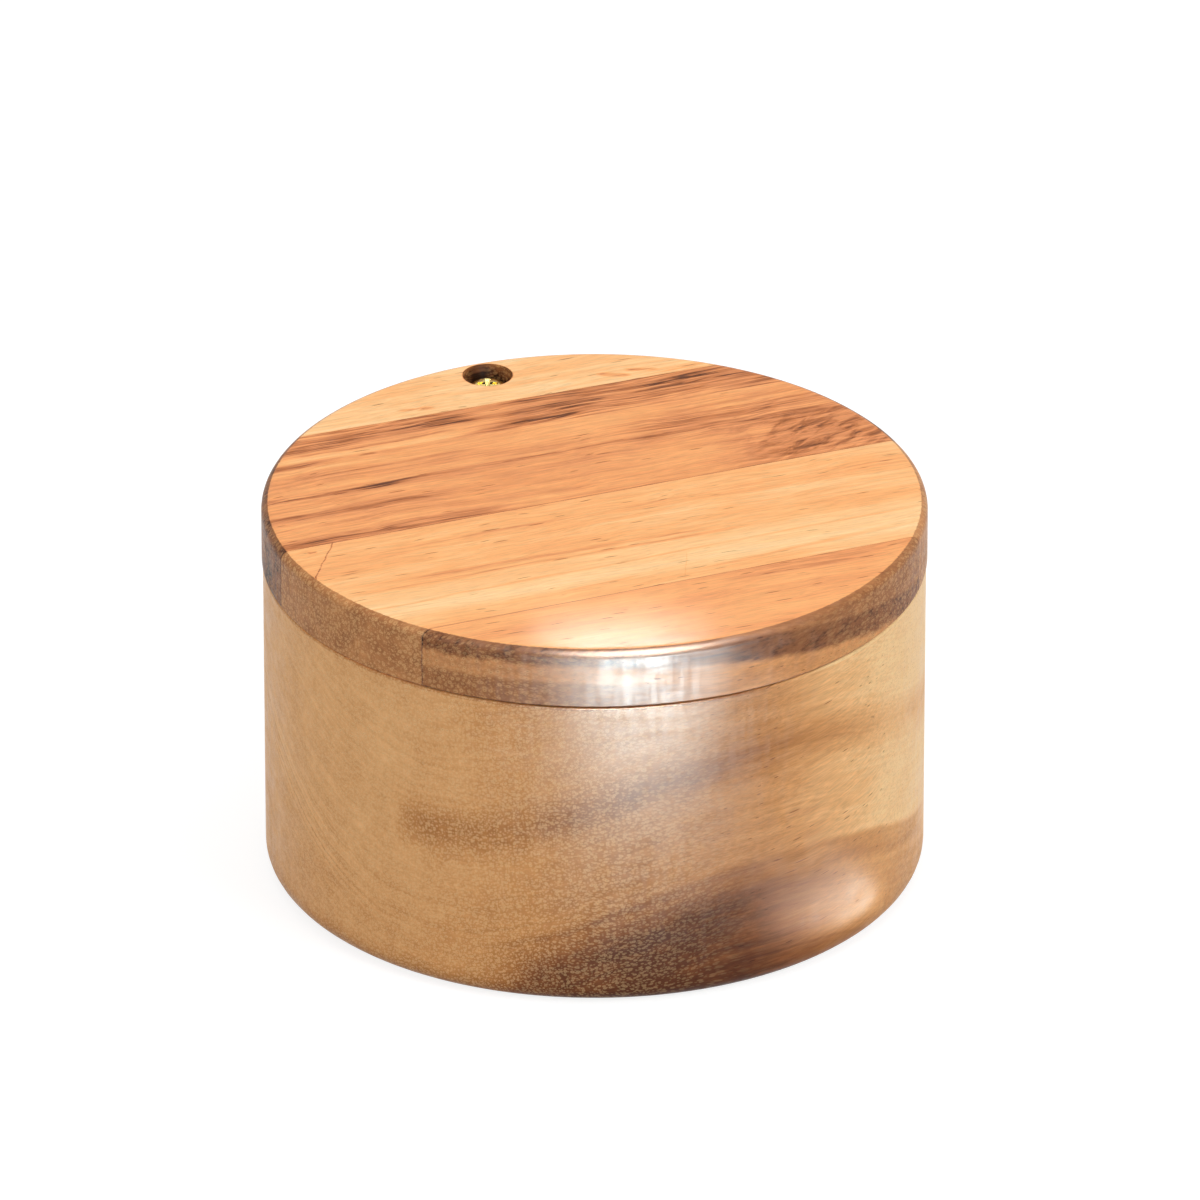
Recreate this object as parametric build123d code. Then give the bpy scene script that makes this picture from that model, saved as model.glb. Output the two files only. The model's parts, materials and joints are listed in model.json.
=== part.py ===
from build123d import *

import os

# A round wooden salt box whose lid swivels aside on one brass screw.
#
# The box is turned from one block, with a plain round well. The lid is a disc cut from four edge-glued
# staves. A pan-head screw stands in the middle of the wall behind the well. The lid turns on its plain
# shank, between a brass washer under the head and a thin glide washer let into the rim. Two disc magnets,
# one in the lid and one in the rim opposite the screw, hold the lid shut.
#
# Millimetres, +Z up. The origin is the centre of the flat foot. The staves run along X, the screw is on +Y
# and the thumb side of the lid is at -Y.

# Box body
BODY_DIAMETER = 109.6
BODY_HEIGHT = 54.8
WALL = 11.0
FLOOR_THICKNESS = 9.0
FOOT_ROUND = 3.4  # rounding between the wall and the foot
WELL_BEVEL = 4.0  # between the well's side and its floor
RIM_OUTER_BEVEL = 0.3
RIM_INNER_BEVEL = 1.0

# Lid
LID_OVERHANG = 0.2  # how far the lid stands out past the body
LID_THICKNESS = 10.2
LID_TOP_ROUND = 1.5
LID_UNDER_BEVEL = 0.2
STAVE_SEAMS = {  # each stave but the last: Y of the seam on its thumb side at X 0, and the seam's slant
    "hinge": (38.9, 0.0),
    "dark": (1.3, 0.8),
    "pale": (-32.9, 1.3),
}

# Pivot screw, a 3.5 x 25 pan head
SHANK_DIAMETER = 3.5
SCREW_LENGTH = 25.0  # under the head
TIP_LENGTH = 4.0
TIP_DIAMETER = 0.8
HEAD_DIAMETER = 6.6
HEAD_HEIGHT = 2.4
HEAD_ROUND = 1.6
HEAD_SINK = 1.5  # top of the head below the top of the lid
RECESS_SPAN = 3.6  # across two opposite arms of the cross recess
RECESS_SLOT = 0.9
RECESS_DEPTH = 1.5
RECESS_TAPER = 12.0  # degrees
RECESS_TURN = -21.0  # degrees, how the driven screw came to rest

# Washers
WASHER_DIAMETER = 7.8
WASHER_THICKNESS = 0.8
WASHER_BEVEL = 0.15
GLIDE_DIAMETER = 8.0
GLIDE_THICKNESS = 0.8
GLIDE_PROUD = 0.25  # how far the glide washer stands above the rim

# Magnets
MAGNET_DIAMETER = 6.0
MAGNET_THICKNESS = 2.5
MAGNET_BEVEL = 0.2

# Clearances
RUNNING_PLAY = 0.05  # along the screw, at each face that slides
SHANK_PLAY = 0.08  # radial, shank in the lid and in the washers
THREAD_FIT = 0.02  # radial, screw in the body's pilot hole
COUNTERBORE_PLAY = 0.3  # radial, around the head's washer
POCKET_PLAY = 0.05  # radial, around a magnet or the glide washer
CUT_PAST = 1.0  # how far a hole's cutter runs past the face that it opens through

# Worked out from the sizes above
body_radius = BODY_DIAMETER / 2
well_radius = body_radius - WALL
lid_radius = body_radius + LID_OVERHANG
glide_top = BODY_HEIGHT + GLIDE_PROUD
glide_bottom = glide_top - GLIDE_THICKNESS
lid_bottom = glide_top + RUNNING_PLAY
lid_top = lid_bottom + LID_THICKNESS
head_top = lid_top - HEAD_SINK
head_bottom = head_top - HEAD_HEIGHT
washer_bottom = head_bottom - WASHER_THICKNESS
counterbore_floor = washer_bottom - RUNNING_PLAY
screw_end = head_bottom - SCREW_LENGTH
shank_radius = SHANK_DIAMETER / 2
pivot_y = body_radius - WALL / 2
magnet_y = -pivot_y


def turned(corners, rounds=(), bevels=()):
    """Solid turned about Z from a closed (radius, height) outline.

    rounds and bevels list (corner number, size) pairs for the corners that are rounded or bevelled off.
    """
    outline = make_face(Polyline(*corners, close=True).edges())
    for soften, sizes in ((fillet, rounds), (chamfer, bevels)):
        for number, size in sizes:
            near = Vector(*corners[number])
            corner = outline.vertices().sort_by_distance(near)[0]
            outline = soften(corner, size)
    return revolve(Plane.XZ * outline, Axis.Z)


def disc(radius, low, high, y):
    """Upright cylinder on (0, y) from height low to height high."""
    return Pos(0, y, low) * Cylinder(radius, high - low, align=(Align.CENTER, Align.CENTER, Align.MIN))


def bevelled_disc(radius, low, high, y, bevel):
    """Upright cylinder like disc, with both its rims bevelled."""
    corners = [(0, low), (radius, low), (radius, high), (0, high)]
    return Pos(0, y, 0) * turned(corners, bevels=[(1, bevel), (2, bevel)])


def washer(diameter, low, thickness):
    """Flat washer on the pivot axis, bored to run on the screw's shank."""
    high = low + thickness
    bore = disc(shank_radius + SHANK_PLAY, low - CUT_PAST, high + CUT_PAST, pivot_y)
    return bevelled_disc(diameter / 2, low, high, pivot_y, WASHER_BEVEL) - bore


def magnet(low):
    """Disc magnet opposite the pivot, its lower face at height low."""
    return bevelled_disc(MAGNET_DIAMETER / 2, low, low + MAGNET_THICKNESS, magnet_y, MAGNET_BEVEL)


def screw_shank(growth=0.0):
    """Plain shank and pointed end of the pivot screw, grown all round by growth."""
    radius = shank_radius + growth
    end = screw_end - growth
    corners = [
        (0, end),
        (TIP_DIAMETER / 2 + growth, end),
        (radius, end + TIP_LENGTH),
        (radius, head_bottom),
        (0, head_bottom),
    ]
    return Pos(0, pivot_y, 0) * turned(corners)


def make_screw():
    """Pan-head pivot screw with a tapered cross recess in its head."""
    head_radius = HEAD_DIAMETER / 2
    corners = [(0, head_bottom), (head_radius, head_bottom), (head_radius, head_top), (0, head_top)]
    head = Pos(0, pivot_y, 0) * turned(corners, [(2, HEAD_ROUND)])
    cross = Rectangle(RECESS_SPAN, RECESS_SLOT) + Rectangle(RECESS_SLOT, RECESS_SPAN)
    mouth = Pos(0, pivot_y, head_top) * Rot(0, 0, RECESS_TURN) * cross
    return head + screw_shank() - extrude(mouth, -RECESS_DEPTH, taper=RECESS_TAPER)


def make_body():
    """Turned body with its well, the screw's pilot hole and the seats of the glide washer and the magnet."""
    corners = [
        (0, 0),
        (body_radius, 0),
        (body_radius, BODY_HEIGHT),
        (well_radius, BODY_HEIGHT),
        (well_radius, FLOOR_THICKNESS),
        (0, FLOOR_THICKNESS),
    ]
    bevels = [(2, RIM_OUTER_BEVEL), (3, RIM_INNER_BEVEL), (4, WELL_BEVEL)]
    above_rim = BODY_HEIGHT + CUT_PAST
    body = turned(corners, [(1, FOOT_ROUND)], bevels)
    body -= screw_shank(THREAD_FIT)
    body -= disc(GLIDE_DIAMETER / 2 + POCKET_PLAY, glide_bottom, above_rim, pivot_y)
    body -= disc(MAGNET_DIAMETER / 2 + POCKET_PLAY, BODY_HEIGHT - MAGNET_THICKNESS, above_rim, magnet_y)
    return body


def make_lid():
    """The lid's whole disc with its counterbored pivot hole and the magnet's pocket."""
    corners = [(0, lid_bottom), (lid_radius, lid_bottom), (lid_radius, lid_top), (0, lid_top)]
    below_lid = lid_bottom - CUT_PAST
    lid = turned(corners, [(2, LID_TOP_ROUND)], [(1, LID_UNDER_BEVEL)])
    lid -= disc(shank_radius + SHANK_PLAY, below_lid, counterbore_floor + CUT_PAST, pivot_y)
    lid -= disc(WASHER_DIAMETER / 2 + COUNTERBORE_PLAY, counterbore_floor, lid_top + CUT_PAST, pivot_y)
    lid -= disc(MAGNET_DIAMETER / 2 + POCKET_PLAY, below_lid, lid_bottom + MAGNET_THICKNESS, magnet_y)
    return lid


def sawn_staves(lid):
    """The lid sawn along its glue seams, as a dictionary of staves named from the screw forward."""
    staves = {}
    for name, (seam_y, slant) in STAVE_SEAMS.items():
        seam = Plane(origin=(0, seam_y, 0), z_dir=Vector(0, 1, 0).rotate(Axis.Z, slant))
        staves[name] = split(lid, bisect_by=seam, keep=Keep.TOP)
        lid = split(lid, bisect_by=seam, keep=Keep.BOTTOM)
    staves["thumb"] = lid
    return staves


pieces = {
    "box_body": make_body(),
    "pivot_screw": make_screw(),
    "head_washer": washer(WASHER_DIAMETER, washer_bottom, WASHER_THICKNESS),
    "glide_washer": washer(GLIDE_DIAMETER, glide_bottom, GLIDE_THICKNESS),
    "rim_magnet": magnet(BODY_HEIGHT - MAGNET_THICKNESS),
    "lid_magnet": magnet(lid_bottom),
}
for stave_name, stave in sawn_staves(make_lid()).items():
    pieces[f"lid_stave_{stave_name}"] = stave

os.makedirs("parts", exist_ok=True)
for piece_name, piece in pieces.items():
    export_step(piece, f"parts/{piece_name}.step")
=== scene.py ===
"""Looks of a round wooden salt box with a swivel lid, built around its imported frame.

Points are in metres in the frame's axes: +Z up, the staves of the lid along X, the pivot screw on +Y.
The figure of the wood is written in millimetres in the same axes. The box is a turned block, the lid is
four glued staves, and the lid turns on a brass screw between two washers.
"""

import json
import logging
import math
from dataclasses import dataclass
from enum import Enum
from typing import Any, Iterable, Mapping, Sequence

import bmesh
import bpy
import numpy as np
from mathutils import Matrix, Vector


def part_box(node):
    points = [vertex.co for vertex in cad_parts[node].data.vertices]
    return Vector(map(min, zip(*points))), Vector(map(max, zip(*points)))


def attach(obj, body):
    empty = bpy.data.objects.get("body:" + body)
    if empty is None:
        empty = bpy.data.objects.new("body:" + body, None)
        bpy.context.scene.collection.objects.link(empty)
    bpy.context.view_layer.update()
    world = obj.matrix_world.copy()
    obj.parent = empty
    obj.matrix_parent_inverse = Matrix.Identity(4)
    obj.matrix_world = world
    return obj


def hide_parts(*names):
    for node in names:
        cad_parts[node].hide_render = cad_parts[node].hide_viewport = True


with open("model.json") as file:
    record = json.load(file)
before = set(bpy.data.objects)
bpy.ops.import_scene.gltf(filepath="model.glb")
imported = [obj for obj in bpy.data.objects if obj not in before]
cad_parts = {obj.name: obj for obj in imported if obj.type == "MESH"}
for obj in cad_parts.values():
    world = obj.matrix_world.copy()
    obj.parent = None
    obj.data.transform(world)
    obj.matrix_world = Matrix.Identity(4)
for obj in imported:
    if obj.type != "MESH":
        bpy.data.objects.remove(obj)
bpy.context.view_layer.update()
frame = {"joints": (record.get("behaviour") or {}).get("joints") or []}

MM = 0.001
AROUND = 384  # steps round the box and the lid
AROUND_SMALL = 96  # steps round the washers, the magnets and the screw
ROUND_STEPS = 8  # steps in a rounded corner
GUARD = 1.12  # how far from the corner the flat beside a rounding is held flat, as a share of the tangent's
CREASE = math.radians(28)  # edges sharper than this are shaded sharp
LACQUER_IOR = 1.18
LEAST_ROUGHNESS = 0.31
PORE_TINT = (0.46, 0.32, 0.23)  # what a vessel makes of the wood's colour
# Y in millimetres at X 0, and slant in degrees, of each glue seam of the lid, from the screw forward
SEAMS = ((38.9, 0.0), (1.3, 0.8), (-32.9, 1.3))

log = logging.getLogger("salt_box")

Colour = tuple[float, float, float]
Stops = tuple[tuple[float, Colour], ...]
WHITE = (1.0, 1.0, 1.0)


def srgb(red: int, green: int, blue: int) -> Colour:
    """A colour as the eye reads it, 0 to 255, turned into the linear light that shaders work in."""

    def linear(level: int) -> float:
        """One channel of the colour."""
        share = level / 255
        return share / 12.92 if share <= 0.04045 else ((share + 0.055) / 1.055) ** 2.4

    return linear(red), linear(green), linear(blue)


def add_object(name: str, data: bpy.types.ID) -> bpy.types.Object:
    """An object at the origin, linked to the scene."""
    made = bpy.data.objects.new(name, data)
    bpy.context.scene.collection.objects.link(made)
    return made


# --------------------
# Shader maths


class Field:
    """A number, colour or direction that varies over a surface and can be calculated with."""

    def __init__(self, graph: "Graph", socket: bpy.types.NodeSocket) -> None:
        """Holds the socket that gives the field, in its graph."""
        self.graph = graph
        self.socket = socket

    def __add__(self, other: "Number") -> "Field":
        """self + other"""
        return self.graph.maths("ADD", self, other)

    __radd__ = __add__

    def __sub__(self, other: "Number") -> "Field":
        """self - other"""
        return self.graph.maths("SUBTRACT", self, other)

    def __rsub__(self, other: "Number") -> "Field":
        """other - self"""
        return self.graph.maths("SUBTRACT", other, self)

    def __mul__(self, other: "Number") -> "Field":
        """self * other"""
        return self.graph.maths("MULTIPLY", self, other)

    __rmul__ = __mul__

    def __truediv__(self, other: "Number") -> "Field":
        """self / other"""
        return self.graph.maths("DIVIDE", self, other)

    def __abs__(self) -> "Field":
        """The field without its sign."""
        return self.graph.maths("ABSOLUTE", self, 0.0)

    def at_least(self, other: "Number") -> "Field":
        """The larger of the two."""
        return self.graph.maths("MAXIMUM", self, other)

    def fade(self, start: float, end: float) -> "Field":
        """A soft step from 0, where the field is start, to 1, where it is end."""
        return self.graph.node(
            "ShaderNodeMapRange",
            {"interpolation_type": "SMOOTHSTEP"},
            {"Value": self, "From Min": start, "From Max": end},
        )

    def near(self, centre: float, half: float, soft: float) -> "Field":
        """1 within half of centre, fading to 0 over a width of soft on each side."""
        return abs(self - centre).fade(half + soft / 2, half - soft / 2)

    def between(self, low: float, high: float, soft: float) -> "Field":
        """1 from low to high, with each end fading over a width of soft."""
        return self.near((low + high) / 2, (high - low) / 2, soft)

    def ramp(self, stops: Stops) -> "Field":
        """The colour at this field's value on a ramp of colour stops."""
        return self.graph.node("ShaderNodeValToRGB", {"stops": stops}, {"Fac": self})


Number = Field | float


class Graph:
    """The shader nodes of one material or world, made through one method."""

    def __init__(self, tree: bpy.types.NodeTree) -> None:
        """Starts from an empty tree."""
        self.tree = tree
        tree.nodes.clear()

    @classmethod
    def of_material(cls, name: str) -> tuple[bpy.types.Material, "Graph"]:
        """A new material and its nodes."""
        made = bpy.data.materials.new(name)
        made.use_nodes = True
        return made, cls(made.node_tree)

    def node(
        self,
        kind: str,
        settings: Mapping[str, Any] | None = None,
        feeds: Mapping[str | int, Any] | None = None,
        output: str | int = 0,
    ) -> Field:
        """Makes a node.

        Args:
            kind: the node's type.
            settings: its properties, and the stops of a colour ramp, which are set first.
            feeds: values, or fields to link, for its sockets by name or number.
            output: the name or number of the output that is wanted.

        Returns:
            The output as a field.
        """
        made = self.tree.nodes.new(kind)
        for name, value in (settings or {}).items():
            if name == "stops":
                self._set_stops(made.color_ramp, value)
            else:
                setattr(made, name, value)
        for key, value in (feeds or {}).items():
            socket = made.inputs[key]
            if isinstance(value, Field):
                self.tree.links.new(value.socket, socket)
            elif isinstance(value, tuple) and socket.type == "RGBA":
                socket.default_value = (*value, 1.0)
            else:
                socket.default_value = value
        return Field(self, made.outputs[output])

    def _set_stops(self, ramp: bpy.types.ColorRamp, stops: Stops) -> None:
        """Gives a ramp its stops."""
        while len(ramp.elements) < len(stops):
            ramp.elements.new(1.0)
        for element, (place, colour) in zip(ramp.elements, stops):
            element.position = place
            element.color = (*colour, 1.0)

    def maths(self, operation: str, first: Number, second: Number) -> Field:
        """A Math node on two numbers."""
        return self.node("ShaderNodeMath", {"operation": operation}, {0: first, 1: second})

    def mix(self, share: Number, first: Field | Colour, second: Field | Colour, blend: str = "MIX") -> Field:
        """A mix of two colours, by share of the second."""
        settings = {"data_type": "RGBA", "blend_type": blend}
        return self.node("ShaderNodeMix", settings, {0: share, 6: first, 7: second}, 2)

    def scaled(self, vector: Field, factor: Number) -> Field:
        """A vector or a colour, times a number."""
        return self.node("ShaderNodeVectorMath", {"operation": "SCALE"}, {0: vector, "Scale": factor})

    def millimetres(self) -> Field:
        """The place on the object, in millimetres."""
        return self.scaled(self.node("ShaderNodeTexCoord", {}, {}, "Object"), 1.0 / MM)

    def vector(self, x: Number, y: Number, z: Number) -> Field:
        """Three numbers as one vector."""
        return self.node("ShaderNodeCombineXYZ", {}, {0: x, 1: y, 2: z})

    def dot(self, first: Field, second: Sequence[float]) -> Field:
        """How far first reaches along second."""
        return self.node("ShaderNodeVectorMath", {"operation": "DOT_PRODUCT"}, {0: first, 1: second}, "Value")

    def parts(self, vector: Field) -> tuple[Field, Field, Field]:
        """A vector's three numbers."""
        split = self.node("ShaderNodeSeparateXYZ", {}, {0: vector})
        return tuple(Field(self, socket) for socket in split.socket.node.outputs)

    def noise(self, place: Field, detail: float = 2.0, roughness: float = 0.5, distortion: float = 0.0) -> Field:
        """Cloudy noise about 0.5, one feature to a unit of place."""
        feeds = {"Vector": place, "Scale": 1.0, "Detail": detail, "Roughness": roughness}
        return self.node("ShaderNodeTexNoise", {}, feeds | {"Distortion": distortion})

    def surface(self, feeds: Mapping[str, Any]) -> Field:
        """The shader that a whole surface is made of."""
        return self.node("ShaderNodeBsdfPrincipled", {}, feeds)

    def finish(self, shader: Field, kind: str = "ShaderNodeOutputMaterial") -> None:
        """Sends a shader to the output of the material or the world."""
        self.tree.links.new(shader.socket, self.tree.nodes.new(kind).inputs["Surface"])


# --------------------
# Finishes


@dataclass(frozen=True)
class Streak:
    """A stretch of figure that runs along the grain on a stave's face, in millimetres."""

    start: float  # X of its two ends
    end: float
    y: float  # its middle where X is 0
    half: float  # half its width
    weight: float  # how much darker it is, or paler where it is negative
    soft: float = 1.2  # how far its long edges fade
    run: float = 10.0  # how far its ends fade
    slant: float = 0.0  # its rise in Y for each millimetre of X

    def mask(self, x: Field, y: Field) -> Field:
        """Where the streak is, times its weight."""
        across = y - x * self.slant if self.slant else y
        stretch = x.between(self.start, self.end, self.run)
        return across.near(self.y, self.half, self.soft) * stretch * self.weight


@dataclass(frozen=True)
class Vessels:
    """One size of a hardwood's vessels: dark dashes along the grain, or dots with pale rings on its ends."""

    spacing: float  # millimetres across the grain
    core: float  # radius of the vessel, as a share of the spacing
    share: float  # how many of the places hold a vessel
    halo: float | None = None  # radius of the pale ring round it, as a share of the spacing
    length: float | None = None  # millimetres along the grain, or None where they run on

    def masks(self, graph: Graph, spot: "Spot", seed: float, crowding: Number) -> tuple[Field, Field | None]:
        """The vessels and the pale rings round them.

        Args:
            graph: the material's nodes.
            spot: the place on the wood.
            seed: moves the pattern, so that two woods differ.
            crowding: how many more, or fewer, places hold a vessel.

        Returns:
            A mask of the vessels, and one of the rings where they have any.
        """
        across, depth = spot.across / self.spacing + seed, spot.depth / self.spacing
        if self.length:
            place, flat = graph.vector(across, depth, spot.along / self.length), "3D"
        else:
            place, flat = graph.vector(across, depth, 0.0), "2D"
        feeds = {"Vector": place, "Scale": 1.0}
        distance = graph.node("ShaderNodeTexVoronoi", {"voronoi_dimensions": flat}, feeds, "Distance")
        chance, _, width = graph.parts(Field(graph, distance.socket.node.outputs["Color"]))
        kept = (chance + crowding).fade(1 - self.share, 1.05 - self.share)
        reach = distance / (width * 0.6 + 0.7)
        rings = reach.fade(self.halo, self.halo * 0.5) * kept if self.halo else None
        return reach.fade(self.core * 1.35, self.core * 0.65) * kept, rings


# Features to a millimetre along, across and into the grain, then detail and roughness, of each shared pattern
PATTERNS = (
    (0.012, 0.16, 0.14, 2.0, 0.5),
    (0.03, 0.75, 0.6, 4.0, 0.65),
    (0.07, 2.4, 2.0, 2.0, 0.6),
    (0.09, 0.16, 0.16, 3.0, 0.5),
)


@dataclass(frozen=True)
class Spot:
    """Where on the wood a shader is: its place, and the four patterns in the order of PATTERNS."""

    x: Field
    y: Field
    z: Field
    along: Field
    across: Field
    depth: Field
    broad: Field  # streaks some 5 mm wide, about 0
    streak: Field  # streaks some 1 mm wide, about 0
    fine: Field  # streaks some 0.3 mm wide, about 0
    mottle: Field  # clouds, about 0


@dataclass(frozen=True)
class Wood:
    """A lacquered hardwood cut from one block, with vessels, streaks and growth layers all through it."""

    name: str
    slot: str
    face: Stops  # colours of a planed face, pale to dark
    turned: Stops  # colours of the turned side, pale to dark
    seed: float
    grain: tuple[float, float, float] = (1.0, 0.0, 0.02)
    dashes: Vessels = Vessels(spacing=0.62, core=0.14, share=0.4, length=9.0)
    dots: Vessels = Vessels(spacing=0.75, core=0.09, share=0.85, halo=0.4)
    small_dots: Vessels = Vessels(spacing=0.36, core=0.1, share=0.7, halo=0.4)
    ring_colour: Colour = srgb(222, 172, 116)  # of the pale rings
    ring: float = 0.5  # how clear the pale rings are on end grain
    fibre: float = 0.5  # how clear the fibres are
    roughness: float = 0.38

    def tones(self, graph: Graph, spot: Spot) -> tuple[Field, Field]:
        """How dark the planed face and the turned side are, from 0 to 1."""
        raise NotImplementedError

    def material(self) -> bpy.types.Material:
        """Builds the wood's shader.

        Returns:
            The material. Its colour, roughness and bump all follow the same vessels and streaks.
        """
        made, graph = Graph.of_material(self.name)
        facing = graph.node("ShaderNodeTexCoord", {}, {}, "Normal")
        spot = self._spot(graph, graph.millimetres())
        endness = abs(graph.dot(facing, Vector(self.grain).normalized()[:])).fade(0.15, 0.7)
        _, _, up = graph.parts(facing)
        on_face = (abs(up) + spot.fine * 0.07 + spot.mottle * 0.04).fade(0.93, 0.97)

        face_tone, side_tone = self.tones(graph, spot)
        colour = graph.mix(on_face, side_tone.ramp(self.turned), face_tone.ramp(self.face))

        fibre = self._fibre(graph, spot)
        shade = 1.0 + (fibre - 0.5) * (self.fibre * (1.45 - endness))
        colour = graph.scaled(colour, shade)
        crowding = spot.broad * 1.5 + spot.streak * 1.5
        dash, _ = self.dashes.masks(graph, spot, self.seed, crowding)
        dot, halo = self.dots.masks(graph, spot, self.seed + 31.7, spot.broad)
        small, small_halo = self.small_dots.masks(graph, spot, self.seed + 57.3, spot.broad)
        clear = 1.0 - side_tone.fade(0.62, 0.95) * 0.4
        pale = halo.at_least(small_halo * 0.7) * (endness * 0.94 + 0.06) * clear * self.ring
        colour = graph.mix(pale, colour, self.ring_colour)
        pore = (dash * (1 - endness)).at_least(dot.at_least(small * 0.5) * endness * 0.55)
        dark = graph.node("ShaderNodeVectorMath", {"operation": "MULTIPLY"}, {0: colour, 1: PORE_TINT})
        colour = graph.mix(pore, colour, dark)

        sanding = graph.noise(graph.vector(spot.x * 0.14, spot.y * 0.14, spot.z * 0.9), 3.0, 0.6)
        rubbing = graph.noise(graph.vector(spot.x * 0.9, spot.y * 0.9, spot.z * 0.12), 3.0, 0.6)
        height = fibre * 0.006 + sanding * 0.012 + rubbing * 0.012 - pore * 0.004
        bump = graph.node("ShaderNodeBump", {}, {"Height": height, "Distance": MM, "Strength": 1.0})
        rubbed = (sanding - 0.5) * 0.45 + (rubbing - 0.5) * 0.5
        roughness = (self.roughness + rubbed + (fibre - 0.5) * 0.1 + pore * 0.1).at_least(LEAST_ROUGHNESS)
        feeds = {"Base Color": colour, "Roughness": roughness, "IOR": LACQUER_IOR, "Normal": bump}
        graph.finish(graph.surface(feeds))
        return made

    def _spot(self, graph: Graph, place: Field) -> Spot:
        """The place in the frame and along the grain, with a slow wander, and the shared patterns."""
        along_axis = Vector(self.grain).normalized()
        across_axis = Vector((0.0, 0.0, 1.0)).cross(along_axis).normalized()
        depth_axis = along_axis.cross(across_axis)
        x, y, z = graph.parts(place)
        along = graph.dot(place, along_axis[:])
        across = graph.dot(place, across_axis[:])
        depth = graph.dot(place, depth_axis[:])
        drift = graph.noise(graph.vector(along * 0.035 + self.seed, across * 0.06, depth * 0.06)) - 0.5
        across = across + drift * 4.0
        depth = depth + drift * 3.0
        patterns = [
            graph.noise(graph.vector(along * drawn + self.seed, across * wide, depth * deep), *detail) - 0.5
            for drawn, wide, deep, *detail in PATTERNS
        ]
        return Spot(x, y, z, along, across, depth, *patterns)

    def _fibre(self, graph: Graph, spot: Spot) -> Field:
        """Fine fibres that run along the grain."""
        place = graph.vector(spot.along * 0.22 + self.seed, spot.across * 3.4, spot.depth * 3.4)
        return graph.noise(place, 3.0, 0.7)


@dataclass(frozen=True)
class StaveWood(Wood):
    """One stave of the lid, with its figure where it lies on the lid's face."""

    base: float = 0.2  # tone of the plain face
    side_base: float = 0.5  # tone of the plain side
    streaks: tuple[Streak, ...] = ()
    curls: float = 0.0  # weight of the blotchy figure at the stave's right end
    contrast: float = 0.3  # of the streaks that run through the whole stave
    wander: float = 0.8  # how far the drawn streaks wander, millimetres
    seams: tuple[tuple[float, float], ...] = ()  # its own glue seams
    shaded_hole: float | None = None  # Y of the middle of a bored hole with painted shade inside it
    shaded_hole_squares: tuple[float, float] = (19.2, 18.0)  # squared distances from it over which the painted shade sets in
    under_edge_shade_squares: tuple[float, float] = (2600.0, 2850.0)  # and from the box's axis, for the painted shade along the lid's under edge

    def tones(self, graph: Graph, spot: Spot) -> tuple[Field, Field]:
        """The face's drawn streaks over its own ones, and the side's mottle, with painted shade along the under
        edge and in the counterbore.
        """
        wave = graph.noise(graph.vector(spot.x * 0.06 + self.seed, spot.y * 0.4, 0.0), 4.0, 0.6) - 0.5
        y = spot.y + wave * (self.wander * 2.5)
        own = spot.streak + spot.broad * 0.8 + spot.fine * 0.5
        face = own * self.contrast + spot.mottle * 0.2 + self.base
        break_up = spot.streak * 2.0 + spot.fine * 2.6 + spot.mottle + 1.0
        for streak in self.streaks:
            face = face + streak.mask(spot.x, y) * break_up
        if self.curls:
            face = face + self._curl(graph, spot) * self.curls
        # Painted shade along the lid's under edge, where it meets the box
        side = self.side_tone(graph, spot) + spot.z.fade(55.4, 55.15) * 0.24
        rim = (spot.x * spot.x + spot.y * spot.y).fade(*self.under_edge_shade_squares)
        face = face + spot.z.fade(55.3, 55.15) * rim * 0.5
        for seam_y, slant in self.seams:
            line = abs(spot.y - spot.x * math.tan(math.radians(slant)) - seam_y).fade(0.24, 0.06)
            side = side + line * 0.2
            face = face + line * break_up * 0.2
        # Painted shade inside the counterbore, darker further down, with a mottle
        if self.shaded_hole:
            from_hole = spot.y - self.shaded_hole
            inside = (spot.x * spot.x + from_hole * from_hole).fade(*self.shaded_hole_squares)
            hole_shade = inside * (spot.z.fade(65.0, 60.0) * 0.2 + spot.mottle * 0.2 + 0.36)
            side, face = side + hole_shade, face + hole_shade
        return face, side

    def _curl(self, graph: Graph, spot: Spot) -> Field:
        """Short blotches that lean across the grain."""
        lean = spot.y - spot.x * 0.35
        blot = graph.noise(graph.vector(spot.x * 0.22, lean * 0.62, self.seed), 3.0, 0.55, 0.6)
        area = spot.x.fade(20.0, 42.0) * spot.y.between(1.5, 16.5, 5.0)
        return (blot.fade(0.36, 0.66) + 0.3) * area

    def side_tone(self, graph: Graph, spot: Spot) -> Field:
        """Mottled end grain."""
        return spot.streak * 0.5 + spot.mottle * 0.5 + spot.broad * 0.3 + self.side_base


@dataclass(frozen=True)
class ThumbStaveWood(StaveWood):
    """The thumb stave, whose growth layers show as bands on the lid's front."""

    def side_tone(self, graph: Graph, spot: Spot) -> Field:
        """A dark layer over a tan one over a brown one, dipping to the right."""
        layer = spot.z + spot.x * 0.096 + spot.y * 0.153 + spot.mottle * 1.6 + spot.streak * 0.8
        rightward = spot.x * 0.932 - spot.y * 0.363
        top = layer.fade(56.9, 57.9) * (rightward.fade(18.0, 32.0) * 0.06 + 0.18)
        dark = layer.between(52.6, 57.2, 1.2) * 0.39 + top
        tan = layer.fade(53.4, 52.4) * rightward.fade(12.0, 30.0) * 0.12
        brown = layer.fade(50.2, 49.0) * rightward.fade(22.0, 6.0) * 0.26 - tan
        return dark + brown + spot.streak * 0.5 + spot.fine * 0.3 + self.side_base


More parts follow.
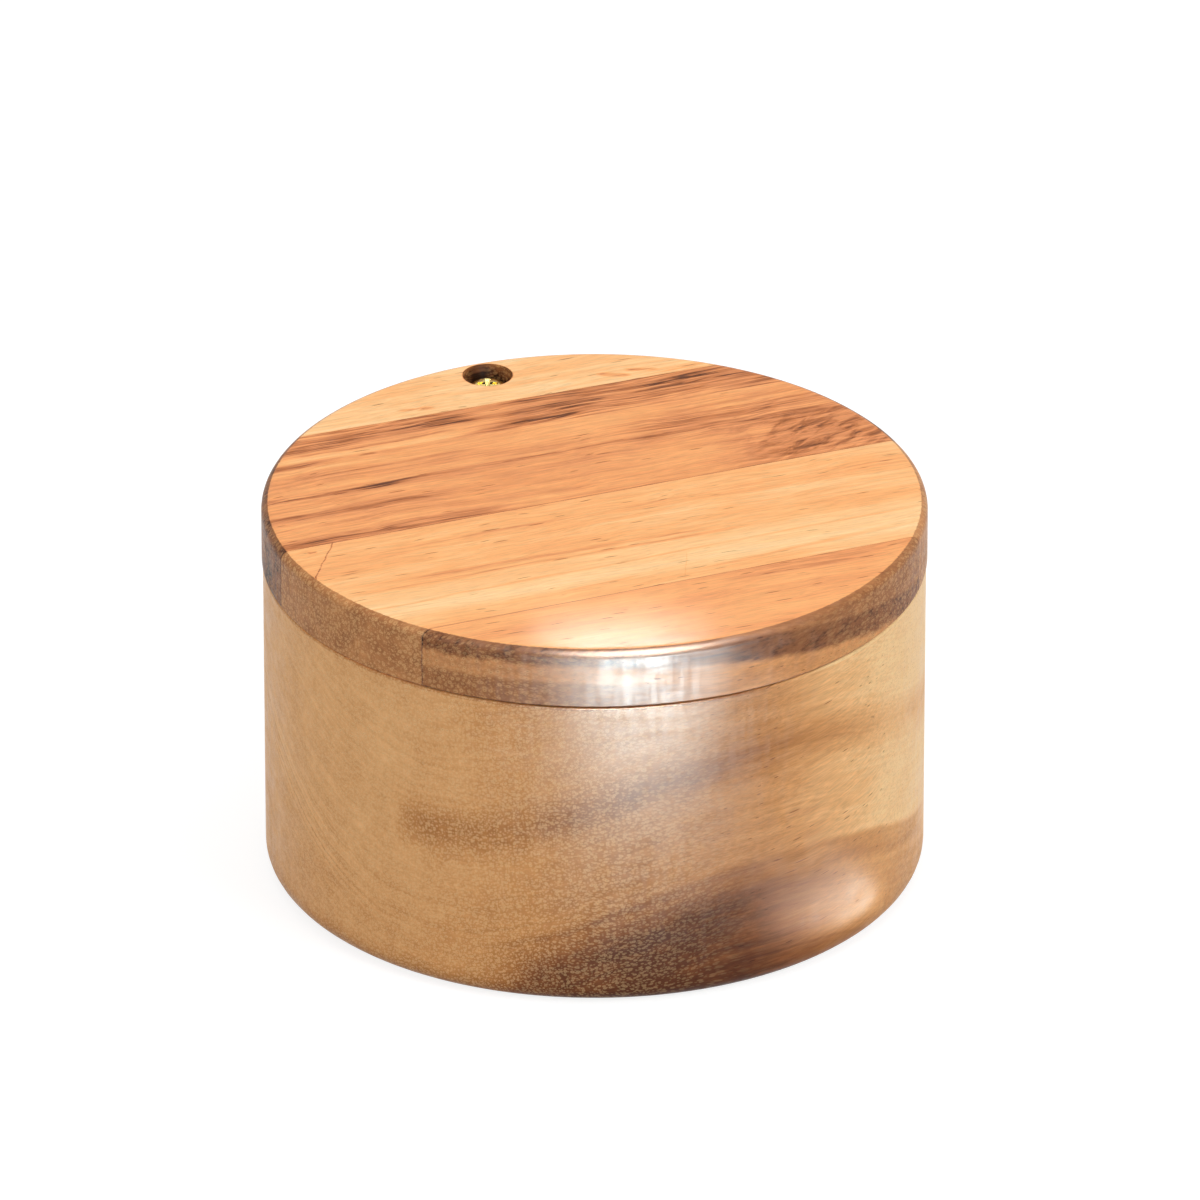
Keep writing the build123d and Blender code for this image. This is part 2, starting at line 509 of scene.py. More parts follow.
@dataclass(frozen=True)
class BodyWood(Wood):
    """The turned block: honey wood in wavy layers, with brown heartwood low on the right of its front.

    The height of a growth layer is a sum of swells in X and Y, which are its seven numbers: level, X, Y,
    XY, X^2 - Y^2, X^3 - 3XY^2 and 3X^2Y - Y^3, in millimetres with X and Y in body radii.
    """

    swells: tuple[float, ...] = (22.4, -5.2, 8.0, -12.8, -3.0, -0.9, 5.2)
    radius: float = 54.8
    base: float = 0.57

    def tones(self, graph: Graph, spot: Spot) -> tuple[Field, Field]:
        """Tone by the height above the heartwood's edge, with brown bands over it, and painted shade and light
        near the foot, the rim and the sides.
        """
        x, y = spot.x / self.radius, spot.y / self.radius
        square, product = x * x - y * y, x * y
        level, in_x, in_y, in_xy, in_square, in_x3, in_y3 = self.swells
        cubic_x = x * (square - y * y * 2.0)
        cubic_y = y * (square + x * x * 2.0)
        swell = x * in_x + y * in_y + product * in_xy + square * in_square + cubic_x * in_x3 + cubic_y * in_y3
        layer = spot.z - swell - level + spot.mottle * 2.2 + spot.streak * 0.7
        front = spot.x * 0.259 - spot.y * 0.966
        right = front.fade(27.0, 40.0)
        heart = layer.fade(0.6, -1.2) * 0.14 + layer.fade(-1.0, -8.0) * 0.21
        ember = layer.between(-4.5, -0.2, 2.0) * spot.x.between(22.0, 46.0, 10.0) * 0.2
        core = layer.fade(-17.6, -18.6) * 0.04 + layer.near(-18.1, 0.25, 0.9) * 0.1
        edge = layer.near(-0.4, 0.5, 1.6) * 0.08
        leftward = spot.x * 0.621 - spot.y * 0.784
        depth = leftward.near(2.0, 4.0, 7.0) * 0.1 + 0.22
        band = layer.near(20.0, 3.0, 7.0) * depth * leftward.fade(-7.0, -3.0)
        lines = graph.noise(graph.vector(spot.x * 0.03, self.seed, layer * 1.25), 4.0, 0.7) - 0.5
        # Paler towards the right, partly the wood's own tone and partly painted light; paler towards the left as
        # painted light
        pale = spot.x.fade(-2.0, 42.0) * -0.56 - spot.x.fade(-12.0, -50.0) * 0.27
        left_lines = layer.between(-2.0, 9.0, 4.0) * leftward.fade(-10.0, -25.0)
        tone = (heart + core + ember + edge) * right + band + pale + lines * (left_lines * 0.5 + 0.3)
        tone = tone + spot.streak * 0.25 + spot.mottle * 0.14 + spot.broad * 0.2 + self.base
        # Painted shade at the foot, where the box stands on the floor, stronger on the left; and a little darker
        # towards the bottom
        tone = tone + spot.z.fade(6.0, 0.5) * (0.26 - right * 0.2) + spot.z.fade(32.0, 8.0) * 0.06
        # Painted shade on the rim's round under the lid, turning to a painted highlight on the right
        return tone, tone + spot.z.fade(54.2, 54.5) * (0.16 - spot.x.fade(0.0, 30.0) * 0.5)


class Metal(Enum):
    """The metals of the small pieces: their colour and how dull they are."""

    BRASS = (srgb(232, 206, 130), 0.13)
    NICKEL = (srgb(196, 196, 200), 0.22)


@dataclass(frozen=True)
class MetalFinish:
    """A machined metal with fine turning marks and a little tarnish."""

    name: str
    slot: str
    metal: Metal
    marks: float = 14.0  # turning marks to a millimetre of radius
    recess: tuple[float, float, float, float] | None = None  # X, Y, reach and mouth height of a hollow darkened by dirt and painted shade

    def material(self) -> bpy.types.Material:
        """Builds the metal's shader.

        Returns:
            The material.
        """
        made, graph = Graph.of_material(self.name)
        colour, roughness = self.metal.value
        place = graph.millimetres()
        tarnish = graph.noise(place, 4.0, 0.6)
        scratch = graph.noise(graph.scaled(place, self.marks), 2.0, 0.7)
        dark = tuple(level * 0.62 for level in colour)
        base = graph.mix(tarnish.fade(0.42, 0.78) * 0.6, colour, dark)
        # Dark inside the cross recess, below its mouth: dirt, and painted shade
        if self.recess:
            recess_x, recess_y, reach, mouth = self.recess
            x, y, z = graph.parts(place)
            from_x, from_y = x - recess_x, y - recess_y
            inside = (from_x * from_x + from_y * from_y).fade(reach * reach * 1.1, reach * reach * 0.95)
            base = graph.mix(inside * z.fade(mouth - 0.03, mouth - 0.16) * 0.93, base, srgb(38, 26, 14))
        bump = graph.node("ShaderNodeBump", {}, {"Height": scratch, "Distance": 0.004 * MM})
        feeds = {
            "Base Color": base,
            "Metallic": 1.0,
            "Roughness": tarnish * 0.16 + scratch * 0.08 + (roughness - 0.06),
            "Normal": bump,
        }
        graph.finish(graph.surface(feeds))
        return made


@dataclass(frozen=True)
class PlasticFinish:
    """Natural nylon, milky and a little uneven."""

    name: str
    slot: str
    colour: Colour = srgb(228, 224, 210)
    clouds: float = 2.6  # clouds to a millimetre

    def material(self) -> bpy.types.Material:
        """Builds the plastic's shader.

        Returns:
            The material.
        """
        made, graph = Graph.of_material(self.name)
        cloud = graph.noise(graph.scaled(graph.millimetres(), self.clouds), 3.0, 0.6)
        base = graph.mix(cloud * 0.35, self.colour, srgb(206, 198, 176))
        bump = graph.node("ShaderNodeBump", {}, {"Height": cloud, "Distance": 0.01 * MM})
        feeds = {"Base Color": base, "Roughness": cloud * 0.2 + 0.35, "Normal": bump, "Subsurface Weight": 0.1}
        graph.finish(graph.surface(feeds))
        return made


# --------------------
# Surfaces


def rounded(corners: Sequence[tuple[float, float]], rounds: Mapping[int, float]) -> np.ndarray:
    """An outline with some of its corners rounded.

    A corner's arc has its centre on the corner's bisector, at radius / sin(half angle), and runs evenly
    from one tangent point to the other. A point just past each tangent point keeps the flat there flat to
    the light.

    Args:
        corners: (radius, height) of each corner, in metres.
        rounds: the rounding radius of each corner that has one, by its number.

    Returns:
        The outline's points, one row each.
    """
    points = []
    for number, corner in enumerate(corners):
        here = np.array(corner)
        if number not in rounds:
            points.append(here[None])
            continue
        back = np.array(corners[number - 1]) - here
        ahead = np.array(corners[(number + 1) % len(corners)]) - here
        back, ahead = back / np.linalg.norm(back), ahead / np.linalg.norm(ahead)
        half = math.acos(float(back @ ahead)) / 2
        bisector = (back + ahead) / np.linalg.norm(back + ahead)
        centre = here + bisector * rounds[number] / math.sin(half)
        reach = rounds[number] / math.tan(half)
        guard = reach * GUARD
        first, last = here + back * reach - centre, here + ahead * reach - centre
        start = math.atan2(first[1], first[0])
        sweep = (math.atan2(last[1], last[0]) - start + math.pi) % (2 * math.pi) - math.pi
        angles = start + sweep * np.linspace(0, 1, ROUND_STEPS + 1)
        arc = centre + rounds[number] * np.stack([np.cos(angles), np.sin(angles)], 1)
        points.extend([(here + back * guard)[None], arc, (here + ahead * guard)[None]])
    return np.concatenate(points)


def swept_grid(
    radius: np.ndarray, height: np.ndarray, centre: tuple[float, float], ring: bool
) -> tuple[np.ndarray, np.ndarray]:
    """A grid of points round an upright axis, with its faces.

    Point (i, j) is at radius[i, j] and height[i] on the half plane at the angle 2 pi j / steps. A row of
    no radius becomes a pole when doubles are merged. A ring joins its last row to its first.

    Args:
        radius: metres, one row for each height and one column for each step round.
        height: metres, one for each row.
        centre: X and Y of the axis.
        ring: whether the outline is a closed loop.

    Returns:
        Points and four-sided faces.
    """
    rows, steps = radius.shape
    angle = np.linspace(0, 2 * math.pi, steps, endpoint=False)
    x = radius * np.cos(angle) + centre[0]
    y = radius * np.sin(angle) + centre[1]
    points = np.stack([x, y, np.broadcast_to(height[:, None], x.shape)], -1).reshape(-1, 3)
    i, j = np.meshgrid(np.arange(rows if ring else rows - 1), np.arange(steps), indexing="ij")
    below, beside = (i + 1) % rows, (j + 1) % steps
    faces = np.stack([i * steps + j, i * steps + beside, below * steps + beside, below * steps + j], -1)
    return points, faces.reshape(-1, 4)


def make_piece(name: str, points: np.ndarray, faces: Iterable[Sequence[int]]) -> bpy.types.Object:
    """A closed mesh object with merged doubles and faces that point outwards."""
    mesh = bpy.data.meshes.new(name)
    mesh.from_pydata(points.tolist(), [], [list(map(int, face)) for face in faces])
    clean(mesh)
    return add_object(name, mesh)


def clean(mesh: bpy.types.Mesh, flat_fill: bool = False) -> None:
    """Merges doubles, fills open cuts where asked, turns the faces outwards and shades them smooth."""
    shape = bmesh.new()
    shape.from_mesh(mesh)
    bmesh.ops.remove_doubles(shape, verts=shape.verts, dist=1e-7)
    if flat_fill:
        bmesh.ops.holes_fill(shape, edges=[edge for edge in shape.edges if edge.is_boundary])
    bmesh.ops.recalc_face_normals(shape, faces=shape.faces)
    shape.to_mesh(mesh)
    shape.free()
    mesh.shade_smooth()
    mesh.set_sharp_from_angle(angle=CREASE)


def turned_piece(
    name: str,
    outline: np.ndarray,
    centre: tuple[float, float] = (0.0, 0.0),
    steps: int = AROUND,
    ring: bool = False,
) -> bpy.types.Object:
    """A piece turned about an upright axis from its outline.

    Args:
        name: the piece's name.
        outline: radius and height of each point, from pole to pole or round a ring.
        centre: X and Y of the axis.
        steps: steps round it.
        ring: whether the outline is a closed loop.

    Returns:
        The object.
    """
    radius = np.repeat(outline[:, :1], steps, 1)
    return make_piece(name, *swept_grid(radius, outline[:, 1], centre, ring))


def plug(radius: float, low: float, high: float, centre: tuple[float, float]) -> bpy.types.Object:
    """An upright cylinder that cuts a hole."""
    outline = np.array([(0, low), (radius, low), (radius, high), (0, high)])
    return turned_piece("plug", outline, centre, AROUND_SMALL)


def cut(piece: bpy.types.Object, cutters: Iterable[bpy.types.Object]) -> None:
    """Cuts each cutter's shape out of a piece for good, and deletes the cutters."""
    for cutter in cutters:
        modifier = piece.modifiers.new("cut", "BOOLEAN")
        modifier.operation = "DIFFERENCE"
        modifier.solver = "EXACT"
        modifier.object = cutter
        bpy.context.view_layer.update()
        result = bpy.data.meshes.new_from_object(piece.evaluated_get(bpy.context.evaluated_depsgraph_get()))
        piece.modifiers.remove(modifier)
        piece.data = result
        bpy.data.objects.remove(cutter)
    clean(piece.data)


def fit(piece: bpy.types.Object, material: bpy.types.Material, body: str, node: str) -> None:
    """Gives a piece its material, sets it on its body and lets it stand for its CAD node."""
    piece.data.materials.clear()
    piece.data.materials.append(material)
    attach(piece, body)
    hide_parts(node)
    log.info("%s: %d faces, for %s on %s", piece.name, len(piece.data.polygons), node, body)


# --------------------
# The frame's sizes


@dataclass(frozen=True)
class Sizes:
    """Sizes and places of the CAD nodes that the dressed pieces follow, in metres."""

    body_radius: float
    body_height: float
    lid_radius: float
    lid_bottom: float
    lid_top: float
    pivot: tuple[float, float]

    @classmethod
    def from_frame(cls) -> "Sizes":
        """Reads them from the frame's boxes and its joint."""
        body_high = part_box("box_body")[1]
        lid_low, lid_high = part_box("lid_stave_pale")
        joint = frame["joints"][0]["pos_m"]
        return cls(body_high.x, body_high.z, lid_high.x, lid_low.z, lid_high.z, (joint[0], joint[1]))


def node_disc(node: str) -> tuple[tuple[float, float], float, float, float]:
    """Centre, radius, bottom and top of a round CAD node."""
    low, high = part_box(node)
    return ((low.x + high.x) / 2, (low.y + high.y) / 2), (high.x - low.x) / 2, low.z, high.z


# --------------------
# Sub-assemblies


@dataclass
class BoxBody:
    """The turned block with its well, and what is let into its rim."""

    sizes: Sizes
    wall: float = 11.0 * MM
    floor: float = 9.0 * MM
    foot_round: float = 3.4 * MM
    rim_round: float = 0.35 * MM
    mouth_round: float = 1.1 * MM
    well_round: float = 6.0 * MM
    pilot_radius: float = 1.77 * MM
    pocket_play: float = 0.05 * MM

    def build(self, finish: Wood) -> None:
        """Turns the block, cuts its holes and dresses it."""
        radius, height = self.sizes.body_radius, self.sizes.body_height
        well = radius - self.wall
        corners = [(0, 0), (radius, 0), (radius, height), (well, height), (well, self.floor), (0, self.floor)]
        rounds = {1: self.foot_round, 2: self.rim_round, 3: self.mouth_round, 4: self.well_round}
        piece = turned_piece("box_turned", rounded(corners, rounds))
        cut(piece, self._holes())
        fit(piece, finish.material(), "box", "box_body")

    def _holes(self) -> list[bpy.types.Object]:
        """Cutters for the screw's pilot hole, the glide washer's seat and the magnet's pocket."""
        above = self.sizes.body_height + MM
        glide, glide_radius, glide_low, _ = node_disc("glide_washer")
        magnet, magnet_radius, magnet_low, _ = node_disc("rim_magnet")
        screw, _, screw_low, _ = node_disc("pivot_screw")
        return [
            plug(self.pilot_radius, screw_low, above, screw),
            plug(glide_radius + self.pocket_play, glide_low, above, glide),
            plug(magnet_radius + self.pocket_play, magnet_low, above, magnet),
        ]


@dataclass
class Lid:
    """The lid's disc with its counterbored pivot hole, sawn into its four staves."""

    sizes: Sizes
    top_round: float = 1.5 * MM
    under_round: float = 0.25 * MM
    shank_radius: float = 1.83 * MM
    counterbore_radius: float = 4.2 * MM
    counterbore_play: float = 0.05 * MM  # under the head's washer
    pocket_play: float = 0.05 * MM
    glue_line: float = 0.03 * MM
    seams: tuple[tuple[float, float], ...] = SEAMS
    names: tuple[str, ...] = ("hinge", "dark", "pale", "thumb")

    def build(self, finishes: Sequence[Wood]) -> None:
        """Turns the disc, cuts its holes, saws it and dresses each stave."""
        radius, low, high = self.sizes.lid_radius, self.sizes.lid_bottom, self.sizes.lid_top
        corners = [(0, low), (radius, low), (radius, high), (0, high)]
        disc = turned_piece("lid_disc", rounded(corners, {1: self.under_round, 2: self.top_round}))
        cut(disc, self._holes())
        for number, (name, finish) in enumerate(zip(self.names, finishes)):
            piece = self._stave(disc, number, f"stave_{name}")
            fit(piece, finish.material(), "lid", f"lid_stave_{name}")
        bpy.data.objects.remove(disc)

    def _holes(self) -> list[bpy.types.Object]:
        """Cutters for the pivot hole, its counterbore and the magnet's pocket."""
        below, above = self.sizes.lid_bottom - MM, self.sizes.lid_top + MM
        magnet, magnet_radius, _, magnet_high = node_disc("lid_magnet")
        washer, _, washer_low, _ = node_disc("head_washer")
        floor = washer_low - self.counterbore_play
        return [
            plug(self.counterbore_radius, floor, above, washer),
            plug(self.shank_radius, below, floor + MM, washer),
            plug(magnet_radius + self.pocket_play, below, magnet_high, magnet),
        ]

    def _stave(self, disc: bpy.types.Object, number: int, name: str) -> bpy.types.Object:
        """A copy of the disc, cut back at the stave's own seams and closed there."""
        mesh = disc.data.copy()
        mesh.name = name
        shape = bmesh.new()
        shape.from_mesh(mesh)
        sides = []
        if number > 0:
            sides.append((*self.seams[number - 1], 1))
        if number < len(self.seams):
            sides.append((*self.seams[number], -1))
        for seam_y, slant, outward in sides:
            turn = math.radians(slant)
            normal = Vector((-math.sin(turn), math.cos(turn), 0.0)) * outward
            place = Vector((0.0, seam_y * MM, 0.0)) - normal * self.glue_line / 2
            everything = [*shape.verts, *shape.edges, *shape.faces]
            bmesh.ops.bisect_plane(shape, geom=everything, plane_co=place, plane_no=normal, clear_outer=True)
        shape.to_mesh(mesh)
        shape.free()
        clean(mesh, flat_fill=True)
        return add_object(name, mesh)


@dataclass
class Pivot:
    """The pan-head screw with its thread, and the two washers on it."""

    sizes: Sizes
    head_height: float = 2.4 * MM
    head_round: float = 1.6 * MM
    crown: float = 0.12 * MM
    shank_radius: float = 1.75 * MM
    root_radius: float = 1.22 * MM
    plain_length: float = 9.5 * MM  # of the shank under the head
    pitch: float = 1.35 * MM
    tooth_half: float = 0.27  # half a tooth's width, as a share of the pitch
    thread_rows: int = 260
    point_length: float = 4.0 * MM
    point_radius: float = 0.12 * MM
    recess_span: float = 3.6 * MM
    recess_slot: float = 0.85 * MM
    recess_depth: float = 1.5 * MM
    recess_foot: float = 0.45  # the recess's size at its floor, as a share of its mouth
    recess_turn: float = math.radians(-21.0)
    washer_bore: float = 1.83 * MM
    washer_round: float = 0.14 * MM

    def build(self, brass: MetalFinish, nylon: PlasticFinish) -> None:
        """Makes and dresses the screw and both washers."""
        metal = brass.material()
        fit(self._screw(), metal, "box", "pivot_screw")
        fit(self._washer("head_washer", "washer_brass"), metal, "box", "head_washer")
        fit(self._washer("glide_washer", "washer_nylon"), nylon.material(), "box", "glide_washer")

    def _screw(self) -> bpy.types.Object:
        """The head, shank and thread as one grid, with the cross recess cut in.

        The thread's radius is root + (crest - root) * tooth, where tooth is a narrow triangle of the phase
        depth / pitch - angle / 2 pi, and both radii close in on the point.
        """
        centre, head_radius, low, high = node_disc("pivot_screw")
        under = high - self.head_height
        corners = [(0, high), (head_radius, high - self.crown), (head_radius, under), (self.shank_radius, under)]
        head = rounded(corners, {1: self.head_round})
        depth = np.linspace(0, under - low, self.thread_rows)[1:]
        angle = np.linspace(0, 1, AROUND_SMALL, endpoint=False)
        phase = (depth[:, None] / self.pitch - angle) % 1.0
        tooth = np.clip(1 - np.abs(phase - 0.5) / self.tooth_half, 0, 1)
        threaded = np.clip((depth - self.plain_length) / self.pitch, 0, 1)[:, None]
        radius = self.shank_radius * (1 - threaded) + threaded * (
            self.root_radius + (self.shank_radius - self.root_radius) * tooth
        )
        to_point = np.clip((under - low - depth) / self.point_length, 0, 1)[:, None]
        radius = self.point_radius + (radius - self.point_radius) * to_point
        rows = np.concatenate([np.repeat(head[:, :1], AROUND_SMALL, 1), radius, np.zeros((1, AROUND_SMALL))])
        heights = np.concatenate([head[:, 1], under - depth, [low]])
        piece = make_piece("screw_brass", *swept_grid(rows, heights, centre, False))
        cut(piece, [self._cross(centre, high)])
        return piece

    def _cross(self, centre: tuple[float, float], top: float) -> bpy.types.Object:
        """A cross-shaped cutter that narrows to its foot: each level is the mouth's outline, scaled."""
        arm, half = self.recess_span / 2, self.recess_slot / 2
        quarter = np.array([(arm, -half), (arm, half), (half, half)])
        turns = self.recess_turn + np.arange(4) * math.pi / 2
        spin = np.stack([np.cos(turns), -np.sin(turns), np.sin(turns), np.cos(turns)], 1).reshape(4, 2, 2)
        mouth = np.einsum("qab,pb->qpa", spin, quarter).reshape(-1, 2)
        levels = [(1.25, top + 0.5 * MM), (1.0, top), (self.recess_foot, top - self.recess_depth)]
        points = np.array([(x * s + centre[0], y * s + centre[1], z) for s, z in levels for x, y in mouth])
        count = len(mouth)
        i, j = np.meshgrid(np.arange(len(levels) - 1), np.arange(count), indexing="ij")
        beside = (j + 1) % count
        sides = np.stack([i * count + j, i * count + beside, (i + 1) * count + beside, (i + 1) * count + j], -1)
        ends = [list(range(count)), list(range(2 * count, 3 * count))]
        return make_piece("cross", points, [*sides.reshape(-1, 4).tolist(), *ends])

    def _washer(self, node: str, name: str) -> bpy.types.Object:
        """A flat ring with rounded edges."""
        centre, radius, low, high = node_disc(node)
        corners = [(self.washer_bore, low), (radius, low), (radius, high), (self.washer_bore, high)]
        outline = rounded(corners, {number: self.washer_round for number in range(4)})
        return turned_piece(name, outline, centre, AROUND_SMALL, ring=True)


@dataclass
class Magnets:
    """The two disc magnets that hold the lid shut."""

    edge_round: float = 0.2 * MM

    def build(self, nickel: MetalFinish) -> None:
        """Makes and dresses both magnets."""
        material = nickel.material()
        for node, name, body in (("rim_magnet", "magnet_rim", "box"), ("lid_magnet", "magnet_lid", "lid")):
            centre, radius, low, high = node_disc(node)
            corners = [(0, low), (radius, low), (radius, high), (0, high)]
            outline = rounded(corners, {1: self.edge_round, 2: self.edge_round})
            piece = turned_piece(name, outline, centre, AROUND_SMALL)
            fit(piece, material, body, node)


# --------------------
# Studio


class Seen(Enum):
    """What a lamp lights: everything, or only what mirrors it."""

    ALL = "all"
    MIRRORED = "mirrored"


@dataclass(frozen=True)
class Lamp:
    """A flat soft lamp, given from the middle of the box as the camera sees it: right, toward it and up."""

    name: str
    place: tuple[float, float, float]
    size: tuple[float, float]
    watts: float
    aim: tuple[float, float, float] = (0.0, 0.0, 0.04)
    along: tuple[float, float] = (1.0, 0.0)  # the level direction of its first side
    seen: Seen = Seen.ALL
    colour: Colour = WHITE


@dataclass(frozen=True)
class Card(Lamp):
    """A small cool lamp that only shows as a gloss on the lacquer."""

    seen: Seen = Seen.MIRRORED
    colour: Colour = (0.74, 0.9, 0.94)


@dataclass
class Studio:
    """Camera, lamps, white floor and world."""

    azimuth: float = math.radians(-21.3)
    elevation: float = math.radians(27.44)
    distance: float = 2.704
    focal_pixels: float = 16300.0  # for a frame 1200 pixels wide
    frame_pixels: float = 1200.0
    off_centre: tuple[float, float] = (-5.46, 74.32)  # box's middle in the frame, pixels right and down
    sensor: float = 36.0  # millimetres
    floor_size: float = 6.0
    floor_grey: float = 0.45  # for the light it gives back
    seen_floor_grey: float = 0.32  # for the shadow that shows on it
    seen_floor_glow: float = 0.8
    world_light: float = 0.35
    lamps: tuple[Lamp, ...] = (
        Lamp("key", (1.1, 0.8, 1.0), (0.9, 0.9), 12.8),
        Lamp("fill", (-0.9, 1.0, 0.8), (0.9, 0.9), 7.2),
        Lamp("top", (0.1, -0.3, 1.5), (1.2, 1.0), 7.2),
        Card("card_wall", (0.048, 0.190, 0.003), (0.160, 0.040), 12.8, (0.048, 0.190, 1.0), (149.0, -41.0)),
        Card("card_low", (0.058, 0.082, 0.003), (0.050, 0.016), 0.02, (0.058, 0.082, 1.0), (1.0, -0.1)),
        Card("card_foot", (0.050, 0.041, 0.003), (0.036, 0.014), 0.03, (0.050, 0.041, 1.0), (23.0, -43.0)),
        Card("card_rim", (0.018, 0.091, 0.1043), (0.056, 0.09), 2.1, (0.007, 0.054, 0.0643)),
        Card("card_lid", (0.0045, 0.0278, 0.0793), (0.030, 0.007), 0.017, (0.0045, 0.0525, 0.0653)),
    )

    def build(self, sizes: Sizes) -> None:
        """Sets the camera, the lamps, the floor and the world."""
        scene = bpy.context.scene
        scene.view_settings.view_transform = "Standard"
        self._camera(Vector((0.0, 0.0, sizes.lid_top / 2)))
        for lamp in self.lamps:
            self._lamp(lamp)
        self._floor()
        self._world()

    def _axes(self) -> tuple[Vector, Vector]:
        """The level directions to the camera's right and towards the camera."""
        toward = Vector((math.sin(self.azimuth), -math.cos(self.azimuth), 0.0))
        return Vector((0.0, 0.0, 1.0)).cross(toward), toward

    def _place(self, right: float, toward: float, up: float) -> Vector:
        """A point given from the box's middle, as the camera sees it, in the frame's axes."""
        right_axis, toward_axis = self._axes()
        return right_axis * right + toward_axis * toward + Vector((0.0, 0.0, up))

    def _camera(self, middle: Vector) -> None:
        """Aims a long lens so that the box lies in the frame as in the photograph."""
        right_axis, toward_axis = self._axes()
        out = toward_axis * math.cos(self.elevation) + Vector((0.0, 0.0, math.sin(self.elevation)))
        up_axis = out.cross(right_axis)
        step = self.distance / self.focal_pixels
        aim = middle - right_axis * self.off_centre[0] * step + up_axis * self.off_centre[1] * step
        data = bpy.data.cameras.new("camera")
        data.sensor_width = self.sensor
        data.lens = self.focal_pixels / self.frame_pixels * self.sensor
        data.clip_end = 20.0
        camera = add_object("camera", data)
        camera.location = middle + out * self.distance
        camera.rotation_euler = (aim - camera.location).to_track_quat("-Z", "Y").to_euler()
        bpy.context.scene.camera = camera

    def _lamp(self, lamp: Lamp) -> None:
        """Hangs one lamp, aimed at its own target, with its first side along its own direction."""
        data = bpy.data.lights.new(lamp.name, "AREA")
        data.shape = "RECTANGLE" if lamp.seen is Seen.ALL else "ELLIPSE"
        data.size, data.size_y = lamp.size
        data.energy = lamp.watts
        data.color = lamp.colour
        light = add_object(lamp.name, data)
        place = self._place(*lamp.place)
        back = (place - self._place(*lamp.aim)).normalized()
        side = self._place(*lamp.along, 0.0)
        side = (side - back * side.dot(back)).normalized()
        turn = Matrix((side, back.cross(side), back)).transposed()
        light.matrix_world = Matrix.Translation(place) @ turn.to_4x4()
        light.visible_camera = False
        light.visible_diffuse = lamp.seen is Seen.ALL

    def _floor(self) -> None:
        """A white floor that still takes the box's shadow."""
        half = self.floor_size / 2
        mesh = bpy.data.meshes.new("floor")
        corners = [(-half, -half, 0), (half, -half, 0), (half, half, 0), (-half, half, 0)]
        mesh.from_pydata(corners, [], [(0, 1, 2, 3)])
        floor = add_object("floor", mesh)
        made, graph = Graph.of_material("floor_white")
        matt = graph.node("ShaderNodeBsdfDiffuse", {}, {"Color": (self.floor_grey,) * 3})
        faint = graph.node("ShaderNodeBsdfDiffuse", {}, {"Color": (self.seen_floor_grey,) * 3})
        glow = graph.node("ShaderNodeEmission", {}, {"Color": WHITE, "Strength": self.seen_floor_glow})
        lit = graph.node("ShaderNodeAddShader", {}, {0: faint, 1: glow})
        graph.finish(graph.node("ShaderNodeMixShader", {}, {0: self._seen(graph), 1: matt, 2: lit}))
        mesh.materials.append(made)

    def _seen(self, graph: Graph) -> Field:
        """1 for rays from the camera, a mirror or glass."""
        camera = graph.node("ShaderNodeLightPath", {}, {}, "Is Camera Ray")
        paths = camera.socket.node.outputs
        glossy, through = (Field(graph, paths[name]) for name in ("Is Glossy Ray", "Is Transmission Ray"))
        return camera.at_least(glossy).at_least(through)

    def _world(self) -> None:
        """A white world, dimmer for what it lights than for what it shows."""
        world = bpy.data.worlds.new("world")
        bpy.context.scene.world = world
        world.use_nodes = True
        graph = Graph(world.node_tree)
        strength = self._seen(graph) * (1.0 - self.world_light) + self.world_light
        white = graph.node("ShaderNodeBackground", {}, {"Color": WHITE, "Strength": strength})
        graph.finish(white, "ShaderNodeOutputWorld")


# --------------------
# The woods of this box

FACE = (
    (0.0, srgb(255, 220, 168)),
    (0.18, srgb(254, 200, 140)),
    (0.34, srgb(251, 179, 114)),
    (0.5, srgb(240, 161, 101)),
    (0.64, srgb(222, 143, 90)),
    (0.78, srgb(199, 122, 72)),
    (0.9, srgb(158, 92, 50)),
    (1.0, srgb(98, 54, 28)),
)
LID_SIDE = (
    (0.0, srgb(248, 188, 124)),
    (0.25, srgb(226, 160, 101)),
    (0.45, srgb(198, 136, 86)),
    (0.65, srgb(168, 111, 69)),
    (0.85, srgb(136, 85, 52)),
    (0.93, srgb(98, 58, 36)),
    (1.0, srgb(50, 27, 16)),
)
BODY = (
    (0.0, srgb(254, 212, 154)),
    (0.2, srgb(242, 187, 127)),
    (0.4, srgb(216, 155, 97)),
    (0.55, srgb(195, 134, 79)),
    (0.7, srgb(169, 110, 63)),
    (0.85, srgb(138, 84, 49)),
    (1.0, srgb(94, 53, 33)),
)

